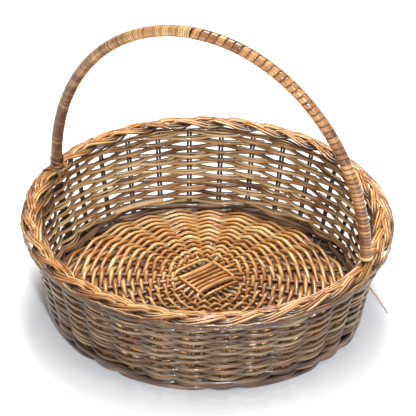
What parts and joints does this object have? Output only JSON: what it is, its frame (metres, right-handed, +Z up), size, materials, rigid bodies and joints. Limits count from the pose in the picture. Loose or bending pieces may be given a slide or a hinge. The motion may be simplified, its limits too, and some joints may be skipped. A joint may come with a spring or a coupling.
{
  "type": "woven market basket",
  "caption": "Round woven market basket with a domed base, a flaring openwork wall, a plaited border and a wrapped hoop handle.",
  "frame": {"origin": "middle of the underside, on the surface that the basket stands on", "axes": "+Z up through the middle of the base; +X along the span of the hoop handle; the hoop leans a little towards -Y, the front"},
  "size_m": [0.4211, 0.42, 0.3642],
  "materials": {
    "base_sticks": "varnished",
    "base_weave": "varnished",
    "side_weave": "varnished",
    "stakes": "varnished",
    "border": "varnished",
    "handle_rod": "varnished",
    "wrap_fine": "varnished",
    "wrap_wide": "varnished"
  },
  "bodies": {
    "root": {"over_stick_1": "base_sticks", "over_stick_2": "base_sticks", "over_stick_3": "base_sticks", "over_stick_4": "base_sticks", "over_stick_5": "base_sticks", "over_stick_6": "base_sticks", "under_stick_1": "base_sticks", "under_stick_2": "base_sticks", "under_stick_3": "base_sticks", "under_stick_4": "base_sticks", "under_stick_5": "base_sticks", "under_stick_6": "base_sticks", "under_stick_7": "base_sticks", "cross_tie_1": "base_weave", "cross_tie_2": "base_weave", "base_weaver_1": "base_weave", "base_weaver_2": "base_weave", "base_weaver_3": "base_weave", "base_weaver_4": "base_weave", "base_weaver_5": "base_weave", "base_weaver_6": "base_weave", "base_weaver_7": "base_weave", "base_weaver_8": "base_weave", "upsett_round_1": "side_weave", "upsett_round_2": "side_weave", "upsett_round_3": "side_weave", "side_stakes": "stakes", "bye_stakes": "stakes", "side_round_1": "side_weave", "side_round_2": "side_weave", "side_round_3": "side_weave", "side_round_4": "side_weave", "side_round_5": "side_weave", "side_round_6": "side_weave", "side_round_7": "side_weave", "side_round_8": "side_weave", "side_round_9": "side_weave", "side_round_10": "side_weave", "side_round_11": "side_weave", "side_round_12": "side_weave", "side_round_13": "side_weave", "side_round_14": "side_weave", "side_round_15": "side_weave", "side_round_16": "side_weave", "side_round_17": "side_weave", "border_strand_1": "border", "border_strand_2": "border", "border_strand_3": "border", "handle_core": "handle_rod", "handle_wrap_left": "wrap_fine", "handle_wrap_right": "wrap_wide", "foot_lashing": "wrap_fine", "foot_band": "wrap_wide"}
  },
  "joints": []
}
